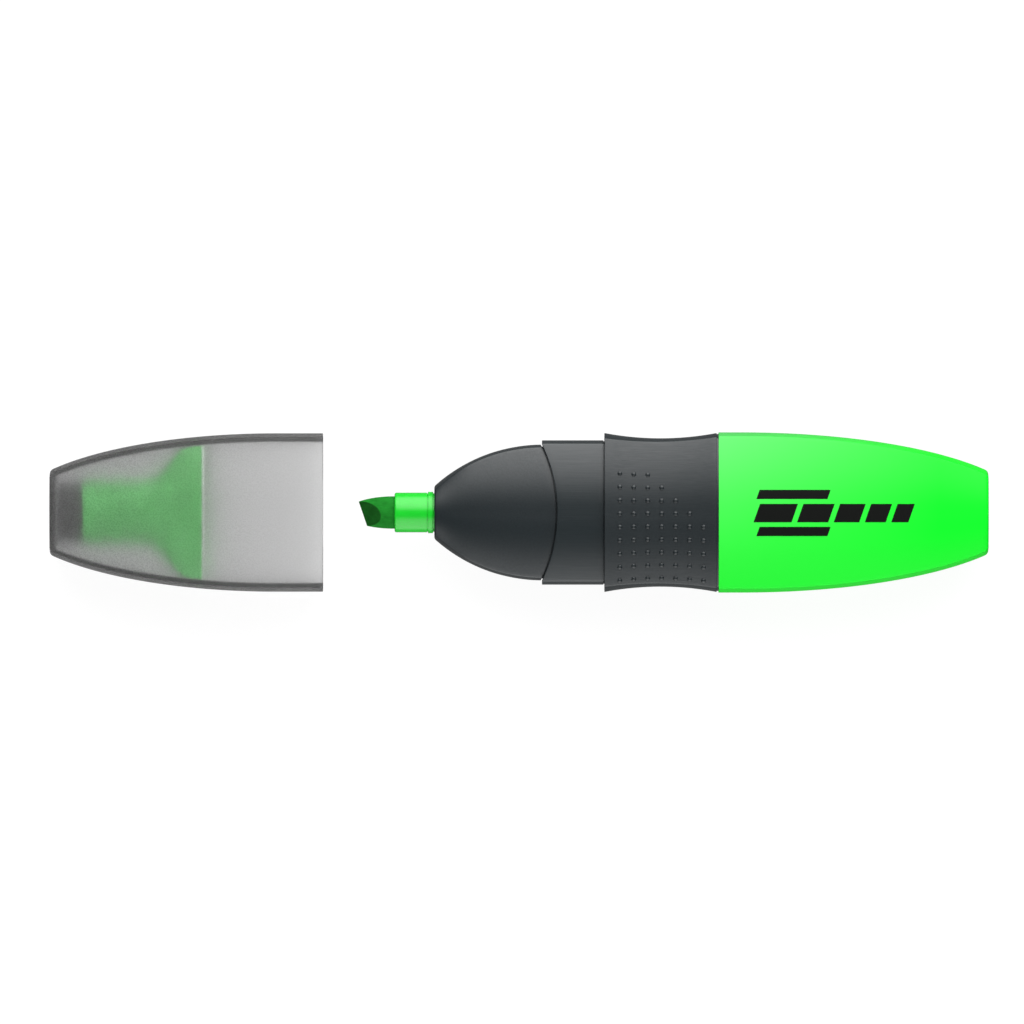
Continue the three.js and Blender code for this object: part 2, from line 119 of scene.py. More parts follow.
# Meshes
STATION = 0.9  # longest stretch along X between two rings
CORNER_STEPS = 5
TURNED_SEGMENTS = 72
SHARP_ANGLE = math.radians(38)


# -----------------------------------------------------------------------------------------------------------
# Shape tools
# -----------------------------------------------------------------------------------------------------------


def evenly(start, end, steps):
    return [start + (end - start) * k / steps for k in range(steps + 1)]


def smooth_share(value, low, high):
    """0 up to low, 1 from high on, and a smooth step between them."""
    share = min(1.0, max(0.0, (value - low) / (high - low)))
    return share * share * (3 - 2 * share)


def arc_fall(distance, radius):
    """Drop from full size of an arc, at a distance from its summit."""
    return radius - math.sqrt(radius**2 - distance**2)


def elliptic_taper(distance, start, reach, full):
    """Full size up to the start, then an ellipse that would reach zero after `reach`."""
    along = max(0.0, distance - start) / reach
    return full * math.sqrt(1 - along**2)


def bezier(start, corner, end, steps):
    """Points of the curve that rounds a corner, with both ends."""
    return [start.lerp(corner, t).lerp(corner.lerp(end, t), t) for t in evenly(0, 1, steps)]


def crown_height(y, half_width, half_thick, bulge=SIDE_BULGE):
    """Height of the broad face above the axis, at a distance y from the middle."""
    land = LAND_SHARE * half_width
    share = max(0.0, abs(y) - land) / (half_width - bulge - land)
    return half_thick - CROWN_SHARE * half_width * share**CROWN_POWER


def crown_point(share, half_width, half_thick, inset, bulge):
    """A point of the crown, moved inwards by the inset. Share 0 is at the land and 1 at the long edge."""
    land = LAND_SHARE * half_width
    run = half_width - bulge - land
    y = land + run * share
    slope = CROWN_POWER * CROWN_SHARE * half_width / run * share ** (CROWN_POWER - 1)
    stretch = math.hypot(1, slope)
    z = crown_height(y, half_width, half_thick, bulge)
    return Vector((y - inset * slope / stretch, z - inset / stretch))


def body_quarter(half_width, half_thick, inset, bulge=SIDE_BULGE):
    """One quarter of the body's section, from the middle of the side to the middle of the broad face."""
    edge_height = half_thick - CROWN_SHARE * half_width
    full_radius = (edge_height**2 + bulge**2) / (2 * bulge)
    middle = Vector((half_width - full_radius, 0))
    radius = full_radius - inset

    low, high = 0.0, 1.0
    for _ in range(CROSSING_STEPS):
        edge_share = (low + high) / 2
        if (crown_point(edge_share, half_width, half_thick, inset, bulge) - middle).length < radius:
            low = edge_share
        else:
            high = edge_share
    edge = crown_point(edge_share, half_width, half_thick, inset, bulge)

    side_end = math.atan2(edge.y, edge.x - middle.x) - EDGE_ROUND / radius
    side = [
        middle + radius * Vector((math.cos(a), math.sin(a))) for a in evenly(0, side_end, SIDE_STEPS)
    ]
    crown_start = edge_share - EDGE_ROUND / half_width
    crown = [
        crown_point(share, half_width, half_thick, inset, bulge)
        for share in evenly(crown_start, 0, CROWN_STEPS)
    ]
    land = [Vector((y, half_thick - inset)) for y in evenly(LAND_SHARE * half_width, 0, LAND_STEPS)]
    rounding = bezier(side[-1], edge, crown[0], EDGE_STEPS)
    return side + rounding[1:-1] + crown + land[1:]


# Oval rings take their points at the angles of the body's points, so that both skin together evenly.
OVAL_ANGLES = [
    math.atan2(point.y / HALF_THICK, point.x / CAP_HALF_WIDTH)
    for point in body_quarter(CAP_HALF_WIDTH, HALF_THICK, 0)
]


def ring(x, quarter):
    """A whole outline at one place along X, from its quarter."""
    back = quarter[-2::-1]
    outline = [(point.x, point.y) for point in quarter]
    outline += [(-point.x, point.y) for point in back]
    outline += [(-point.x, -point.y) for point in quarter[1:]]
    outline += [(point.x, -point.y) for point in back[:-1]]
    return [Vector((x, y, z)) for y, z in outline]


def oval_ring(x, half_width, half_thick=None):
    height = half_width if half_thick is None else half_thick
    return ring(x, [Vector((half_width * math.cos(a), height * math.sin(a))) for a in OVAL_ANGLES])


def blend_rings(start, end, share):
    return [a.lerp(b, share) for a, b in zip(start, end)]


def rounded(corners):
    """A profile of (x, depth, reach) corners. Each is rounded over its reach, or stays sharp at reach 0."""
    places = [Vector((x, depth)) for x, depth, _ in corners]
    profile = []
    for k, corner in enumerate(places):
        reach = corners[k][2]
        if reach == 0:
            profile.append(corner)
            continue
        before = (places[k - 1] - corner).normalized() * reach
        after = (places[(k + 1) % len(places)] - corner).normalized() * reach
        profile += bezier(corner + before, corner, corner + after, CORNER_STEPS)
    return profile


def spaced(profile):
    """The profile with stations added along its long stretches."""
    result = []
    for start, end in zip(profile, profile[1:]):
        steps = max(1, math.ceil(abs(end.x - start.x) / STATION))
        result += [start.lerp(end, k / steps) for k in range(steps)]
    return result + [profile[-1]]


def smooth_mesh(name, points, faces):
    """A mesh in metres, lifted so that the pen lies on the floor, smooth but for its sharp edges."""
    lifted = [(x * MM, y * MM, (z + HALF_THICK) * MM) for x, y, z in points]
    mesh = bpy.data.meshes.new(name)
    mesh.from_pydata(lifted, [], faces)
    return finish_mesh(mesh)


def finish_mesh(mesh):
    shape = bmesh.new()
    shape.from_mesh(mesh)
    bmesh.ops.recalc_face_normals(shape, faces=shape.faces)
    shape.to_mesh(mesh)
    shape.free()
    mesh.shade_smooth()
    mesh.set_sharp_from_angle(angle=SHARP_ANGLE)
    return mesh


def loft(name, rings, is_tube=False):
    """Skins a row of rings. A tube's last ring joins its first, any other row gets a face at each end."""
    count = len(rings[0])
    points = [point for outline in rings for point in outline]
    faces = []
    for band in range(len(rings) if is_tube else len(rings) - 1):
        here = band * count
        beyond = (band + 1) % len(rings) * count
        for i in range(count):
            j = (i + 1) % count
            faces.append((here + i, here + j, beyond + j, beyond + i))
    if not is_tube:
        faces.append(tuple(reversed(range(count))))
        faces.append(tuple(range(len(points) - count, len(points))))
    return smooth_mesh(name, points, faces)


def turned(name, profile, is_tube):
    """Turns a profile of (x, radius) about the pen's axis, as a tube or with a face at each end."""
    angles = evenly(0, math.tau, TURNED_SEGMENTS)[:-1]
    rings = [[Vector((x, r * math.cos(a), r * math.sin(a))) for a in angles] for x, r in profile]
    return loft(name, rings, is_tube)


def add_piece(mesh, body, node, slot, *materials):
    """Puts a mesh in the scene as the piece that stands for a CAD node."""
    piece = bpy.data.objects.new(mesh.name, mesh)
    bpy.context.scene.collection.objects.link(piece)
    for material in materials:
        mesh.materials.append(material)
    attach(piece, body)
    if node:
        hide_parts(node)
    return piece


# -----------------------------------------------------------------------------------------------------------
# Material tools
# -----------------------------------------------------------------------------------------------------------


# A Mix node's sockets share their names between kinds of data. These are the numbers of the colour ones.
MIX_SHARE = 0
MIX_FIRST = 6
MIX_SECOND = 7
MIX_RESULT = 2


def new_material(name, roughness, **settings):
    """A material with one Principled shader. Settings are its other inputs, by name."""
    material = bpy.data.materials.new(name)
    material.use_nodes = True
    shader = material.node_tree.nodes["Principled BSDF"]
    shader.inputs["Roughness"].default_value = roughness
    for key, value in settings.items():
        shader.inputs[key.replace("_", " ")].default_value = value
    return material, shader


def add_node(owner, kind, inputs, **properties):
    """Adds a node to a material or world. An input is a fixed value, or the output that feeds it."""
    tree = owner.node_tree
    node = tree.nodes.new(kind)
    for key, value in properties.items():
        setattr(node, key, value)
    for key, value in inputs.items():
        if isinstance(value, bpy.types.NodeSocket):
            tree.links.new(value, node.inputs[key])
        else:
            node.inputs[key].default_value = value
    return node


def feed(owner, shader, key, output):
    owner.node_tree.links.new(output, shader.inputs[key])


def maths(owner, operation, *values):
    """The output of a Math node that works on fixed values and outputs."""
    return add_node(owner, "ShaderNodeMath", dict(enumerate(values)), operation=operation).outputs[0]


def own_place(material):
    """A point's place in the piece's own space, in metres, split into X, Y and Z."""
    place = add_node(material, "ShaderNodeTexCoord", {}).outputs["Object"]
    return add_node(material, "ShaderNodeSeparateXYZ", {0: place}).outputs


def grey(level):
    return (level, level, level, 1)


def grain(material, size, detail=2.0, softness=0.5):
    """Noise in the piece's own space. Size is its grain along X, Y and Z, in millimetres."""
    place = add_node(material, "ShaderNodeTexCoord", {}).outputs["Object"]
    scale = [1 / (MM * along) for along in size]
    scaled = add_node(
        material, "ShaderNodeVectorMath", {0: place, 1: scale}, operation="MULTIPLY"
    ).outputs["Vector"]
    inputs = {"Vector": scaled, "Scale": 1.0, "Detail": detail, "Roughness": softness}
    return add_node(material, "ShaderNodeTexNoise", inputs).outputs[0]


def remapped(material, value, low, high, to_low, to_high):
    inputs = {"Value": value, "From Min": low, "From Max": high, "To Min": to_low, "To Max": to_high}
    return add_node(material, "ShaderNodeMapRange", inputs).outputs["Result"]


def mixed(material, share, first, second):
    """A colour between two others."""
    inputs = {MIX_SHARE: share, MIX_FIRST: first, MIX_SECOND: second}
    return add_node(material, "ShaderNodeMix", inputs, data_type="RGBA").outputs[MIX_RESULT]


def flatness(material, low, high):
    """0 on the sides of a piece and 1 on its broad faces, with a smooth change between two |normal z|."""
    normal = add_node(material, "ShaderNodeNewGeometry", {}).outputs["Normal"]
    upward = add_node(material, "ShaderNodeSeparateXYZ", {0: normal}).outputs["Z"]
    return remapped(material, maths(material, "ABSOLUTE", upward), low, high, 0.0, 1.0)


def roughen(material, shader, height, depth):
    """Bumps the surface by a height from 0 to 1 that stands for `depth` millimetres."""
    inputs = {"Height": height, "Distance": depth * MM, "Strength": 1.0}
    feed(material, shader, "Normal", add_node(material, "ShaderNodeBump", inputs).outputs["Normal"])


# -----------------------------------------------------------------------------------------------------------
# Materials
# -----------------------------------------------------------------------------------------------------------


SMOKE_FULL = 32.0  # from the cap's mouth: tint and frosting are strongest beyond here
SMOKE_START = 4.0
FROSTING_MOST = 0.6
FROSTING_LEAST = 0.48
SIDE_FROSTING = 0.2
BOSS_FADE_START = 0.2  # past the boss's radius
BOSS_FADE_END = 0.8
SMOKE_DENSITY = 430.0


def broad_or_boss(material, from_axis):
    """1 on the cap's broad faces. The boss's whole width counts as broad, so that it gets no painted side
    shade.
    """
    fade_start = (BOSS_RADIUS + BOSS_FADE_START) * MM
    fade_end = (BOSS_RADIUS + BOSS_FADE_END) * MM
    on_boss = remapped(material, from_axis, fade_start, fade_end, 1.0, 0.0)
    return maths(material, "MAXIMUM", flatness(material, 0.4, 0.85), on_boss)


def frosted_smoke():
    """Smoky plastic, greyer and frostier towards the closed end, with painted shade on its sides."""
    material, shader = new_material(
        "frosted_smoke", FROSTING_LEAST, IOR=1.45, Specular_Tint=grey(0.3), Transmission_Weight=0.98
    )
    place = own_place(material)
    full = (CAP_MOUTH - SMOKE_FULL) * MM
    start = (CAP_MOUTH - SMOKE_START) * MM
    towards_mouth = remapped(material, place["X"], full, start, 0.0, 1.0)
    broad = broad_or_boss(material, maths(material, "ABSOLUTE", place["Y"]))

    # Painted shade: the sides get a darker tint than the broad faces.
    clear = mixed(material, broad, grey(0.5), grey(0.96))
    specks = remapped(material, grain(material, (0.2, 0.2, 0.2), 1.0, 0.5), 0.4, 0.6, 0.0, 1.0)
    dull = mixed(material, towards_mouth, grey(0.66), grey(0.92))
    dusty = mixed(material, specks, dull, grey(1))
    colour = add_node(material, "ShaderNodeVectorMath", {0: clear, 1: dusty}, operation="MULTIPLY")
    feed(material, shader, "Base Color", colour.outputs["Vector"])

    frosting = remapped(material, towards_mouth, 0.0, 1.0, FROSTING_MOST, FROSTING_LEAST)
    feed(material, shader, "Roughness", remapped(material, broad, 0.0, 1.0, SIDE_FROSTING, frosting))
    roughen(material, shader, grain(material, (0.22, 0.22, 0.22), 3.0, 0.6), 0.01)

    inputs = {"Color": grey(0.5), "Density": SMOKE_DENSITY}
    absorption = add_node(material, "ShaderNodeVolumeAbsorption", inputs)
    output = material.node_tree.nodes["Material Output"]
    feed(material, output, "Volume", absorption.outputs["Volume"])
    return material


# A painted highlight runs along the liner's rim. It starts and is full at these distances from the rim.
RIM_HIGHLIGHT_START = 0.45  # from the liner's rim
RIM_HIGHLIGHT_FULL = 0.25


def liner_green():
    """Matt green plastic, with painted shade darker towards the +Y side and a painted highlight along the
    rim.
    """
    material, shader = new_material("liner_green", 0.5)
    place = own_place(material)
    # Painted highlight: a pale green band along the rim.
    rim_start = (LINER_RIM - RIM_HIGHLIGHT_START) * MM
    rim_full = (LINER_RIM - RIM_HIGHLIGHT_FULL) * MM
    rim_highlight = remapped(material, place["X"], rim_start, rim_full, 0.0, 1.0)
    half_width = LINER_HALF_WIDTH * MM
    # Painted shade: the green darkens towards the +Y side, with some random clouding.
    across = remapped(material, place["Y"], -half_width, half_width, 0.0, 1.0)
    share = remapped(material, maths(material, "ADD", across, grain(material, (3, 3, 3))), 0.6, 1.4, 0.0, 1.0)
    plain = mixed(material, share, (0.24, 0.95, 0.27, 1), (0.13, 0.69, 0.15, 1))
    feed(material, shader, "Base Color", mixed(material, rim_highlight, plain, (0.8, 1, 0.8, 1)))
    roughen(material, shader, grain(material, (0.2, 0.2, 0.2), 3.0), 0.01)
    return material


def felt(name, dark, light, roughness):
    """Bonded fibre: fine threads along the pen, with ink lying unevenly in them."""
    material, shader = new_material(name, roughness, Specular_IOR_Level=0.1)
    threads = grain(material, (1.1, 0.09, 0.09), 4.0, 0.65)
    clouds = grain(material, (1.2, 1.2, 1.2), 2.0)
    share = remapped(material, maths(material, "ADD", threads, clouds), 0.7, 1.3, 0.0, 1.0)
    feed(material, shader, "Base Color", mixed(material, share, dark, light))
    roughen(material, shader, threads, 0.05)
    return material


def holder_green():
    material, shader = new_material("holder_green", 0.2, Specular_IOR_Level=0.35)
    clouds = grain(material, (2.5, 2.5, 2.5))
    green = mixed(material, clouds, (0.007, 0.43, 0.018, 1), (0.012, 0.47, 0.024, 1))
    feed(material, shader, "Base Color", green)
    roughen(material, shader, grain(material, (0.6, 0.6, 0.6), 2.0), 0.004)
    return material


def side_felt():
    return felt("nib_felt", (0.004, 0.115, 0.008, 1), (0.009, 0.175, 0.015, 1), 0.85)


def cut_felt():
    """The felt of the nib's ground faces, which is darker."""
    return felt("nib_cut", (0.002, 0.05, 0.003, 1), (0.005, 0.08, 0.007, 1), 0.8)


ROUGHNESS_SPREAD = 0.05


def charcoal(name, dark, light, streak, depth, roughness, specular=0.5):
    """Dark moulded plastic. The streak is the grain's size along X, Y and Z, and the depth its relief."""
    material, shader = new_material(name, roughness, Specular_IOR_Level=specular)
    lines = grain(material, streak, 3.0, 0.6)
    share = remapped(material, lines, 0.3, 0.7, 0.0, 1.0)
    feed(material, shader, "Base Color", mixed(material, share, dark, light))
    roughest = roughness + ROUGHNESS_SPREAD
    smoothest = roughness - ROUGHNESS_SPREAD
    feed(material, shader, "Roughness", remapped(material, lines, 0.3, 0.7, roughest, smoothest))
    roughen(material, shader, lines, depth)
    return material


def nose_charcoal():
    dark = (0.002, 0.0055, 0.0075, 1)
    light = (0.007, 0.0115, 0.0135, 1)
    return charcoal("nose_charcoal", dark, light, (0.3, 0.3, 0.3), 0.01, 0.36)


def collar_charcoal():
    """With fine lines along the pen."""
    dark = (0.001, 0.0055, 0.0075, 1)
    light = (0.008, 0.0125, 0.0145, 1)
    return charcoal("collar_charcoal", dark, light, (6.0, 0.12, 0.12), 0.012, 0.36)


def grip_charcoal():
    dark = (0.001, 0.005, 0.007, 1)
    light = (0.008, 0.012, 0.014, 1)
    return charcoal("grip_charcoal", dark, light, (5.0, 0.15, 0.15), 0.012, 0.42, 0.46)


# The painted sheen fades out this far from the barrel's closed end.
PAINTED_SHEEN_END = 8.0  # from the barrel's closed end: the green is at its deepest between the two


def barrel_green():
    """Fluorescent plastic, with a painted sheen towards the grip and +Y side, and painted shade on its sides.
    """
    material, shader = new_material("barrel_green", 0.4, Specular_IOR_Level=0.12)
    place = own_place(material)
    half_width = BARREL_HALF_WIDTH * MM
    # Painted highlight: whiter towards the grip and the +Y long side.
    along = remapped(material, place["X"], BARREL_FRONT * MM, (BARREL_END - PAINTED_SHEEN_END) * MM, 1.0, 0.0)
    across = remapped(material, place["Y"], -half_width, half_width, 0.0, 1.0)
    share = maths(material, "MULTIPLY", along, across)
    face = mixed(material, share, (0.003, 0.7, 0.018, 1), (0.085, 0.66, 0.105, 1))
    side = mixed(material, share, (0.004, 0.58, 0.014, 1), (0.06, 0.4, 0.08, 1))
    # Painted shade: the sides are a darker green than the broad faces.
    feed(material, shader, "Base Color", mixed(material, flatness(material, 0.3, 0.5), side, face))
    roughen(material, shader, grain(material, (0.5, 0.5, 0.5), 2.0), 0.003)
    return material


def print_ink():
    material, shader = new_material("print_ink", 0.5, Specular_IOR_Level=0.06)
    specks = grain(material, (0.15, 0.15, 0.15), 2.0)
    black = mixed(material, specks, grey(0.003), (0.006, 0.007, 0.006, 1))
    feed(material, shader, "Base Color", black)
    return material


def clear_film():
    material, shader = new_material("clear_film", 0.25)
    clouds = grain(material, (6, 0.8, 0.8))
    pale = mixed(material, clouds, (0.74, 0.78, 0.76, 1), (0.84, 0.87, 0.85, 1))
    feed(material, shader, "Base Color", pale)
    return material


def ink_fibre():
    return felt("ink_fibre", (0.05, 0.55, 0.08, 1), (0.14, 0.85, 0.18, 1), 0.95)


# -----------------------------------------------------------------------------------------------------------
# Cap
# -----------------------------------------------------------------------------------------------------------

BOSS_RADIUS = 4.95
BOSS_HALF_THICK = 4.5  # the cap's walls leave it less room through the thickness
BOSS_LENGTH = 5.3  # from the cap's end to the step that the inner cap stops at
SPIGOT_RADIUS = 4.1
SPIGOT_LENGTH = 1.6
BOSS_BORE = 3.1
BOSS_BORE_START = 3.5  # the bore's floor, from the cap's end
LINER_RADIUS = 5.3
LINER_FLARE_START = 15.2  # from the cap's end
LINER_FLARE_END = 22.9
LINER_WALL = 0.7
LINER_RIM_ROUND = 0.1
MOUTH_ROUND = 0.15


def cap_ring(x, inset):
    from_mouth = CAP_MOUTH - x
    half_width = elliptic_taper(from_mouth, CAP_TAPER_START, CAP_TAPER_REACH, CAP_HALF_WIDTH)
    half_thick = elliptic_taper(from_mouth, CAP_THIN_START, CAP_TAPER_REACH, HALF_THICK)
    return ring(x, body_quarter(half_width, half_thick, inset))


def cap_shell():
    floor = CAP_END + CAP_END_WALL
    step = CAP_END + BOSS_LENGTH
    tip = step + SPIGOT_LENGTH
    bore_floor = CAP_END + BOSS_BORE_START
    shell = rounded([
        (CAP_END, END_FACE_INSET, 0),
        (CAP_END, 0, END_ROUND),
        (CAP_MOUTH, 0, MOUTH_ROUND),
        (CAP_MOUTH, CAP_WALL, MOUTH_ROUND),
        (floor, CAP_WALL, 0.1),
        (floor, CAP_WALL + 0.15, 0),
    ])
    boss = rounded([
        (floor, BOSS_RADIUS + 0.35, 0),
        (floor, BOSS_RADIUS, 0.3),
        (step, BOSS_RADIUS, 0.6),
        (step, SPIGOT_RADIUS, 0.1),
        (tip, SPIGOT_RADIUS, 0.2),
        (tip, BOSS_BORE, 0.1),
        (bore_floor, BOSS_BORE, 0.3),
        (bore_floor, BOSS_BORE - 1.0, 0),
    ])
    rings = [cap_ring(x, inset) for x, inset in spaced(shell)]
    rings += [oval_ring(x, radius, min(radius, BOSS_HALF_THICK)) for x, radius in spaced(boss)]
    return loft("cap_frosted", rings)


def liner_ring(x, radius, inset):
    """Round at the back, and the cap's own outline, moved inwards, at the flared front."""
    share = smooth_share(x, CAP_END + LINER_FLARE_START, CAP_END + LINER_FLARE_END)
    return blend_rings(oval_ring(x, radius), cap_ring(x, inset), share)


def inner_cap():
    outer_inset = CAP_WALL + FIT
    bore = SPIGOT_RADIUS + FIT
    stations = [x for x, _ in spaced([Vector((LINER_BACK, 0)), Vector((LINER_RIM, 0))])]
    rings = [liner_ring(x, LINER_RADIUS, outer_inset) for x in stations]
    rings.append(liner_ring(LINER_RIM, LINER_RADIUS - LINER_RIM_ROUND, outer_inset + LINER_RIM_ROUND))
    rings += [liner_ring(x, bore, outer_inset + LINER_WALL) for x in reversed(stations)]
    return loft("inner_cap_liner", rings, is_tube=True)


# -----------------------------------------------------------------------------------------------------------
# Nib and its holder
# -----------------------------------------------------------------------------------------------------------

NIB_RADIUS = 2.65
NIB_REACH = 5.9  # the part that stands out of the holder
NIB_NOSE_LENGTH = 5.7
NIB_NOSE_REACH = 7.7
NIB_NOSE_STEPS = 20
CHISEL_SLANT = math.radians(18.9)
CHISEL_HALF_ANGLE = math.radians(37.3)
CHISEL_HALF_EDGE = 0.45
CHISEL_EDGE_MIDDLE = 0.65
HOLDER_RADIUS = 3.25
FLANGE_RADIUS = 3.38
FLANGE_THICK = 0.85
FLANGE_LINE_WIDTH = 0.15  # dark line in front of the flange
FLANGE_LINE_DEPTH = 0.12
HOLDER_SHANK_RADIUS = 3.15
HOLDER_BORE = 2.78
HOLDER_SEAT = NOSE_FRONT - FIT


def cut(shape, point, normal, material_index):
    """Grinds away the felt in front of a plane and leaves a flat facet there."""
    geometry = shape.verts[:] + shape.edges[:] + shape.faces[:]
    result = bmesh.ops.bisect_plane(shape, geom=geometry, plane_co=point, plane_no=normal, clear_outer=True)
    rim = [item for item in result["geom_cut"] if isinstance(item, bmesh.types.BMEdge)]
    facet = bmesh.ops.holes_fill(shape, edges=rim)
    for face in facet["faces"]:
        face.material_index = material_index


def nib():
    tip = HOLDER_FRONT - NIB_REACH
    nose = []
    for from_tip in evenly(0, NIB_NOSE_LENGTH, NIB_NOSE_STEPS):
        radius = elliptic_taper(NIB_NOSE_LENGTH - from_tip, 0, NIB_NOSE_REACH, NIB_RADIUS)
        nose.append(Vector((tip + from_tip, radius)))
    profile = spaced(nose + [Vector((NIB_REAR, NIB_RADIUS))])
    mesh = turned("nib_felt", profile, is_tube=False)

    shape = bmesh.new()
    shape.from_mesh(mesh)
    along = Vector((math.cos(CHISEL_SLANT), math.sin(CHISEL_SLANT), 0))
    middle = Vector((tip + CHISEL_EDGE_MIDDLE, 0, HALF_THICK)) * MM
    cut(shape, middle, -along, 1)
    for side in (1, -1):
        shoulder = middle + Vector((0, 0, side * CHISEL_HALF_EDGE * MM))
        normal = Vector((0, 0, side * math.cos(CHISEL_HALF_ANGLE))) - along * math.sin(CHISEL_HALF_ANGLE)
        cut(shape, shoulder, normal, 1)
    shape.to_mesh(mesh)
    shape.free()
    return finish_mesh(mesh)


def nib_holder():
    flange_front = HOLDER_SEAT - FLANGE_THICK
    line_front = flange_front - FLANGE_LINE_WIDTH
    line_radius = HOLDER_RADIUS - FLANGE_LINE_DEPTH
    profile = rounded([
        (HOLDER_FRONT, HOLDER_BORE, 0.08),
        (HOLDER_FRONT, HOLDER_RADIUS, 0.35),
        (line_front, HOLDER_RADIUS, 0.05),
        (line_front, line_radius, 0),
        (flange_front, line_radius, 0),
        (flange_front, FLANGE_RADIUS, 0.12),
        (HOLDER_SEAT, FLANGE_RADIUS, 0.12),
        (HOLDER_SEAT, HOLDER_SHANK_RADIUS, 0),
        (HOLDER_SHANK_END, HOLDER_SHANK_RADIUS, 0.2),
        (HOLDER_SHANK_END, HOLDER_BORE, 0.1),
    ])
    return turned("nib_sleeve", spaced(profile), is_tube=True)


# -----------------------------------------------------------------------------------------------------------
# Nose, collar and grip
# -----------------------------------------------------------------------------------------------------------

NOSE_PLAN_RADIUS = 26.2
NOSE_SIDE_RADIUS = 94.0
NOSE_FRONT_WALL = 1.55
NOSE_FRONT_BORE = 3.25
NOSE_ROUNDED_LENGTH = 6.0
NOSE_ROUNDNESS = 0.5
NOSE_GROOVE = 0.2  # open line between nose and collar
SCALLOP_DEPTH = 2.5
SCALLOP_FADE = 8.0
LIP_LENGTH = 3.6
SHANK_LENGTH = 8.0
COLLAR_SHOULDER = GRIP_FRONT - 0.02  # the collar runs up to the grip's front face
STEP_GROOVE_WIDTH = 0.14  # dark line where the collar meets the grip
STEP_GROOVE_DEPTH = 0.15
SEAM_INSET = 0.12  # depth of the open line between grip and barrel
SEAM_PLAY = 0.01
GRIP_DEPTH = 1.75
GRIP_WAIST = 0.87
GRIP_HOLLOW = 0.6
GRIP_BULGE = 0.54  # of the grip's sides, at its middle
GRIP_BULGE_LOSS = 0.115  # less towards the barrel and more towards the collar
GRIP_BULGE_FLARE = 0.215  # more towards both ends
GRIP_FACE_INSET = 0.8  # the end faces are skinned in two steps, the first this wide


def hollowed(outline):
    """Moves a ring's points back along X where the collar's front edge is hollowed."""
    half_chord = CAP_HALF_WIDTH - SIDE_BULGE - COLLAR_INSET
    radius = (half_chord**2 + SCALLOP_DEPTH**2) / (2 * SCALLOP_DEPTH)
    moved = []
    for x, y, z in outline:
        depth = SCALLOP_DEPTH - arc_fall(min(abs(y), half_chord), radius)
        share = 1 - smooth_share(abs(x - COLLAR_FRONT), 0, SCALLOP_FADE)
        moved.append(Vector((x + depth * share, y, z)))
    return moved


def nose_ring(x, inset):
    from_collar = max(0.0, COLLAR_FRONT - x)
    half_width = CAP_HALF_WIDTH - arc_fall(from_collar, NOSE_PLAN_RADIUS)
    half_thick = HALF_THICK - arc_fall(from_collar, NOSE_SIDE_RADIUS)
    ahead = smooth_share(x, NOSE_FRONT, NOSE_FRONT + NOSE_ROUNDED_LENGTH)
    flat = ring(x, body_quarter(half_width, half_thick, inset))
    oval = oval_ring(x, half_width - inset, half_thick - inset)
    return hollowed(blend_rings(flat, oval, NOSE_ROUNDNESS * (1 - ahead)))


def nose_cone():
    inner_front = NOSE_FRONT + NOSE_FRONT_WALL
    groove = COLLAR_FRONT - NOSE_GROOVE
    profile = rounded([
        (NOSE_FRONT, NOSE_INSET + 0.6, 0),
        (NOSE_FRONT, NOSE_INSET, 0.3),
        (groove, NOSE_INSET, 0.06),
        (groove, SHANK_INSET, 0),
        (NOSE_BACK, SHANK_INSET, 0.2),
        (NOSE_BACK, NOSE_BORE_INSET, 0),
        (inner_front, NOSE_BORE_INSET, 0.05),
        (inner_front, NOSE_BORE_INSET + 0.08, 0),
    ])
    rings = [oval_ring(NOSE_FRONT, NOSE_FRONT_BORE)]
    rings += [nose_ring(x, inset) for x, inset in spaced(profile)]
    rings.append(oval_ring(inner_front, NOSE_FRONT_BORE))
    return loft("nose_dome", rings, is_tube=True)


def neck_ring(x, inset):
    return hollowed(ring(x, body_quarter(CAP_HALF_WIDTH, HALF_THICK, inset)))


def neck_collar():
    lip_end = COLLAR_FRONT + LIP_LENGTH
    shank_end = COLLAR_FRONT + SHANK_LENGTH
    core_inset = GRIP_DEPTH + FIT
    groove_start = COLLAR_SHOULDER - STEP_GROOVE_WIDTH
    groove_floor = COLLAR_INSET + STEP_GROOVE_DEPTH
    profile = rounded([
        (COLLAR_FRONT, NOSE_INSET - FIT, 0.05),
        (COLLAR_FRONT, COLLAR_INSET, 0.1),
        (groove_start, COLLAR_INSET, 0.04),
        (groove_start, groove_floor, 0),
        (COLLAR_SHOULDER, groove_floor, 0),
        (COLLAR_SHOULDER, core_inset, 0),
        (GRIP_REAR + SEAM_PLAY, core_inset, 0),
        (GRIP_REAR + SEAM_PLAY, SEAM_INSET, 0),
        (BARREL_FRONT - SEAM_PLAY, SEAM_INSET, 0),
        (BARREL_FRONT - SEAM_PLAY, BARREL_WALL + FIT, 0),
        (SPIGOT_END, BARREL_WALL + FIT, 0.2),
        (SPIGOT_END, NECK_BORE_INSET, 0),
        (shank_end, NECK_BORE_INSET, 0),
        (shank_end, SHANK_INSET - FIT, 0),
        (lip_end, SHANK_INSET - FIT, 0),
        (lip_end, NOSE_INSET - FIT, 0),
    ])
    rings = [neck_ring(x, inset) for x, inset in spaced(profile)]
    return loft("collar", rings, is_tube=True)


def grip_size(x):
    """The grip's half-width, half-thickness and side bulge at one place along X."""
    along = (2 * x - GRIP_FRONT - GRIP_REAR) / (GRIP_REAR - GRIP_FRONT)
    dip = 1 - along**2
    bulge = GRIP_BULGE - GRIP_BULGE_LOSS * along + GRIP_BULGE_FLARE * along**2
    return GRIP_HALF_WIDTH - GRIP_WAIST * dip, HALF_THICK - GRIP_HOLLOW * dip, bulge


def grip_ring(x, inset):
    half_width, half_thick, bulge = grip_size(x)
    return ring(x, body_quarter(half_width, half_thick, inset, bulge))


